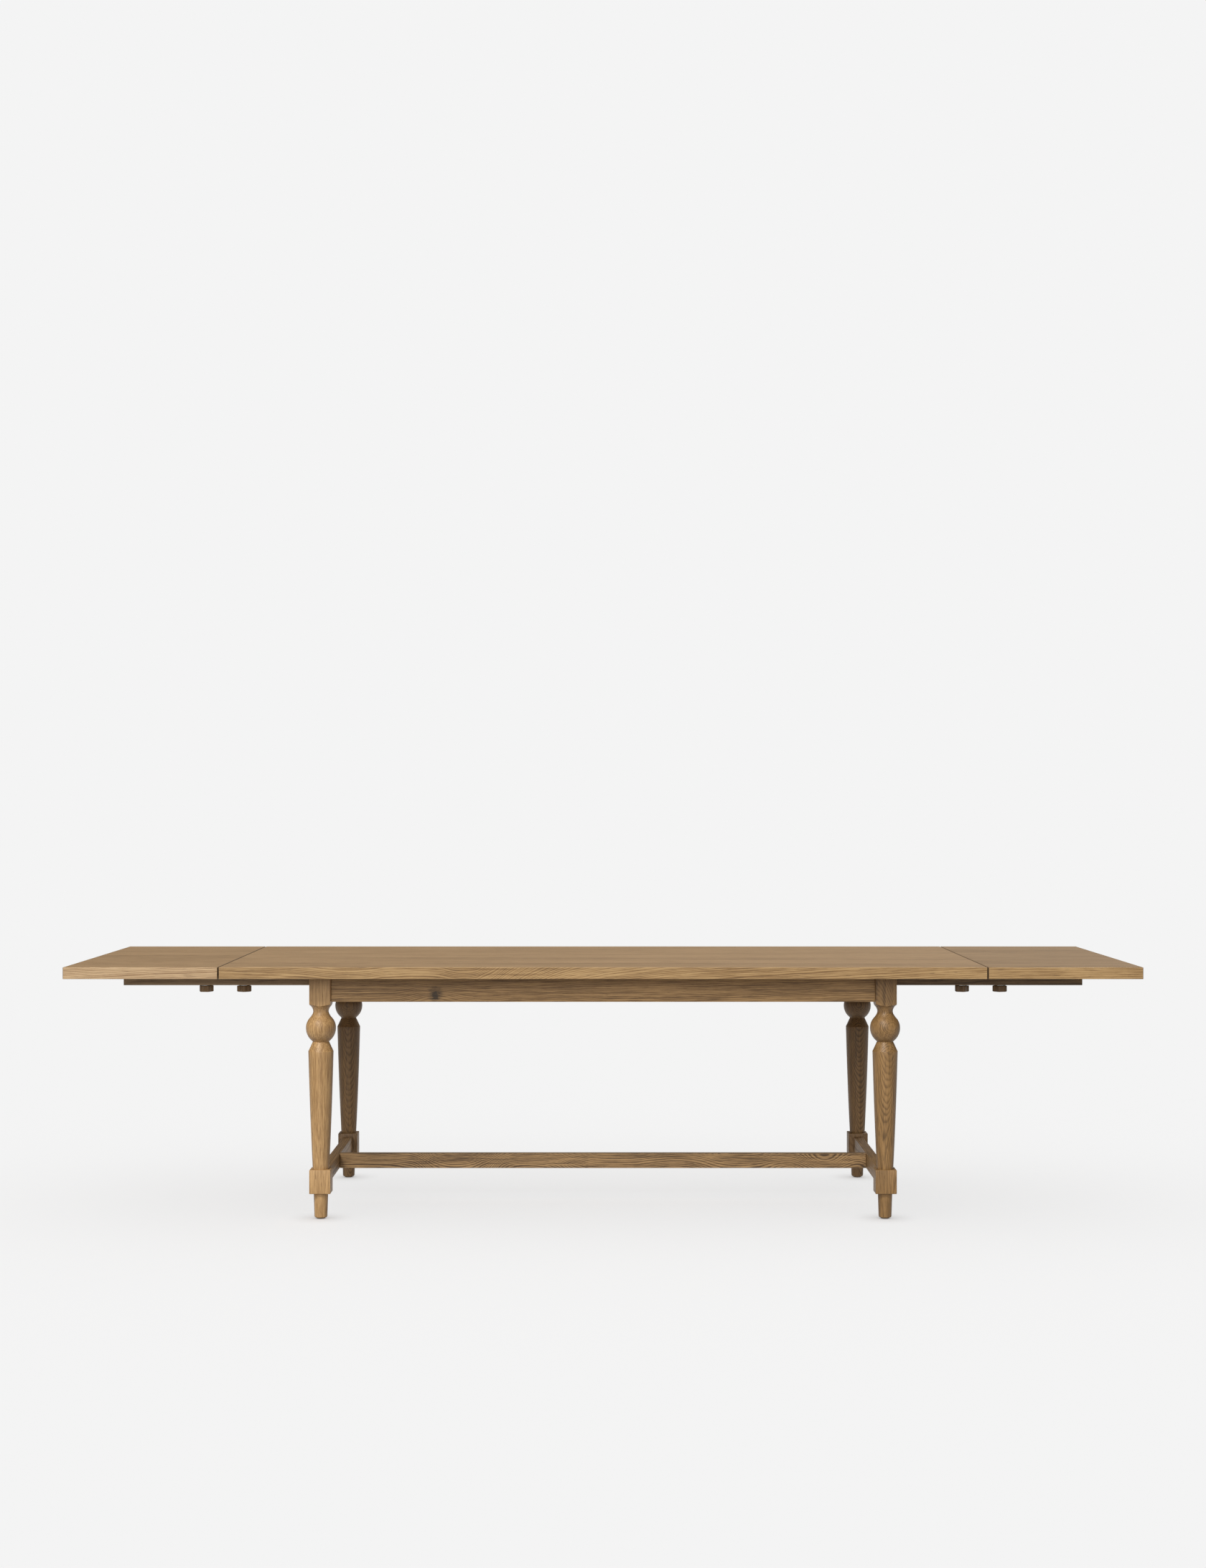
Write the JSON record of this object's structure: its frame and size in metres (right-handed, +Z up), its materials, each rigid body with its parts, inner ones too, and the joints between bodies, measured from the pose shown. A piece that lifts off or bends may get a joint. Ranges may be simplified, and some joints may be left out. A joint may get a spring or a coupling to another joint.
{
  "type": "extendable dining table",
  "caption": "Long dining table with a fixed wooden top on turned legs joined by an H stretcher, and lift-off end leaves clamped by knobs onto pull-out slides.",
  "frame": {"origin": "on the floor, under the middle of the table", "axes": "+X along the table, towards the right end; +Y across it, away from the side in the picture; +Z up"},
  "size_m": [3.2, 1.016, 0.762],
  "materials": {
    "top_oak": "satin stained oak",
    "frame_oak": "satin stained oak",
    "slide_wood": "dull dark oak",
    "hidden_wood": "dull plain wood",
    "knob_wood": "satin dark brown",
    "steel": "plain zinc grey",
    "glide_nylon": "matte brown"
  },
  "bodies": {
    "root": {"middle_top": "top_oak", "centre_stretcher": "frame_oak", "front_apron": "frame_oak", "back_apron": "frame_oak", "left_apron": "frame_oak", "left_bearer": "hidden_wood", "left_stretcher": "frame_oak", "right_apron": "frame_oak", "right_bearer": "hidden_wood", "right_stretcher": "frame_oak", "leg_front_left": "frame_oak", "glide_front_left": "glide_nylon", "corner_block_front_left": "hidden_wood", "top_button_front_left": "hidden_wood", "dowel_front_left": "hidden_wood", "middle_stud_front_left": "steel", "middle_washer_front_left": "steel", "leg_front_right": "frame_oak", "glide_front_right": "glide_nylon", "corner_block_front_right": "hidden_wood", "top_button_front_right": "hidden_wood", "dowel_front_right": "hidden_wood", "middle_stud_front_right": "steel", "middle_washer_front_right": "steel", "leg_back_left": "frame_oak", "glide_back_left": "glide_nylon", "corner_block_back_left": "hidden_wood", "top_button_back_left": "hidden_wood", "dowel_back_left": "hidden_wood", "middle_stud_back_left": "steel", "middle_washer_back_left": "steel", "leg_back_right": "frame_oak", "glide_back_right": "glide_nylon", "corner_block_back_right": "hidden_wood", "top_button_back_right": "hidden_wood", "dowel_back_right": "hidden_wood", "middle_stud_back_right": "steel", "middle_washer_back_right": "steel"},
    "left_leaf": {"left_leaf": "top_oak", "leaf_stud_front_left": "steel", "leaf_washer_front_left": "steel", "leaf_stud_back_left": "steel", "leaf_washer_back_left": "steel"},
    "right_leaf": {"right_leaf": "top_oak", "leaf_stud_front_right": "steel", "leaf_washer_front_right": "steel", "leaf_stud_back_right": "steel", "leaf_washer_back_right": "steel"},
    "slide_front_left": {"slide_front_left": "slide_wood"},
    "middle_knob_front_left": {"middle_knob_front_left": "knob_wood"},
    "leaf_knob_front_left": {"leaf_knob_front_left": "knob_wood"},
    "slide_front_right": {"slide_front_right": "slide_wood"},
    "middle_knob_front_right": {"middle_knob_front_right": "knob_wood"},
    "leaf_knob_front_right": {"leaf_knob_front_right": "knob_wood"},
    "slide_back_left": {"slide_back_left": "slide_wood"},
    "middle_knob_back_left": {"middle_knob_back_left": "knob_wood"},
    "leaf_knob_back_left": {"leaf_knob_back_left": "knob_wood"},
    "slide_back_right": {"slide_back_right": "slide_wood"},
    "middle_knob_back_right": {"middle_knob_back_right": "knob_wood"},
    "leaf_knob_back_right": {"leaf_knob_back_right": "knob_wood"}
  },
  "joints": [
    {"name": "slide_front_left_push", "type": "slide", "parent": "root", "child": "slide_front_left", "axis": [1, 0, 0], "range_m": [0, 0.32]},
    {"name": "slide_front_right_push", "type": "slide", "parent": "root", "child": "slide_front_right", "axis": [-1, 0, 0], "range_m": [0, 0.32]},
    {"name": "slide_back_left_push", "type": "slide", "parent": "root", "child": "slide_back_left", "axis": [1, 0, 0], "range_m": [0, 0.32]},
    {"name": "slide_back_right_push", "type": "slide", "parent": "root", "child": "slide_back_right", "axis": [-1, 0, 0], "range_m": [0, 0.32]},
    {"name": "left_leaf_draw", "type": "slide", "parent": "root", "child": "left_leaf", "axis": [-1, 0, 0], "range_m": [0, 0.26]},
    {"name": "right_leaf_draw", "type": "slide", "parent": "root", "child": "right_leaf", "axis": [1, 0, 0], "range_m": [0, 0.26]},
    {"name": "middle_knob_front_left_turn", "type": "hinge", "parent": "root", "child": "middle_knob_front_left", "pos_m": [-1.0875, -0.333, 0.683], "axis": [0, 0, -1], "range_deg": [0, 540]},
    {"name": "leaf_knob_front_left_turn", "type": "hinge", "parent": "left_leaf", "child": "leaf_knob_front_left", "pos_m": [-1.2035, -0.333, 0.683], "axis": [0, 0, -1], "range_deg": [0, 540]},
    {"name": "middle_knob_front_right_turn", "type": "hinge", "parent": "root", "child": "middle_knob_front_right", "pos_m": [1.0875, -0.333, 0.683], "axis": [0, 0, -1], "range_deg": [0, 540]},
    {"name": "leaf_knob_front_right_turn", "type": "hinge", "parent": "right_leaf", "child": "leaf_knob_front_right", "pos_m": [1.2035, -0.333, 0.683], "axis": [0, 0, -1], "range_deg": [0, 540]},
    {"name": "middle_knob_back_left_turn", "type": "hinge", "parent": "root", "child": "middle_knob_back_left", "pos_m": [-1.0875, 0.333, 0.683], "axis": [0, 0, -1], "range_deg": [0, 540]},
    {"name": "leaf_knob_back_left_turn", "type": "hinge", "parent": "left_leaf", "child": "leaf_knob_back_left", "pos_m": [-1.2035, 0.333, 0.683], "axis": [0, 0, -1], "range_deg": [0, 540]},
    {"name": "middle_knob_back_right_turn", "type": "hinge", "parent": "root", "child": "middle_knob_back_right", "pos_m": [1.0875, 0.333, 0.683], "axis": [0, 0, -1], "range_deg": [0, 540]},
    {"name": "leaf_knob_back_right_turn", "type": "hinge", "parent": "right_leaf", "child": "leaf_knob_back_right", "pos_m": [1.2035, 0.333, 0.683], "axis": [0, 0, -1], "range_deg": [0, 540]}
  ]
}
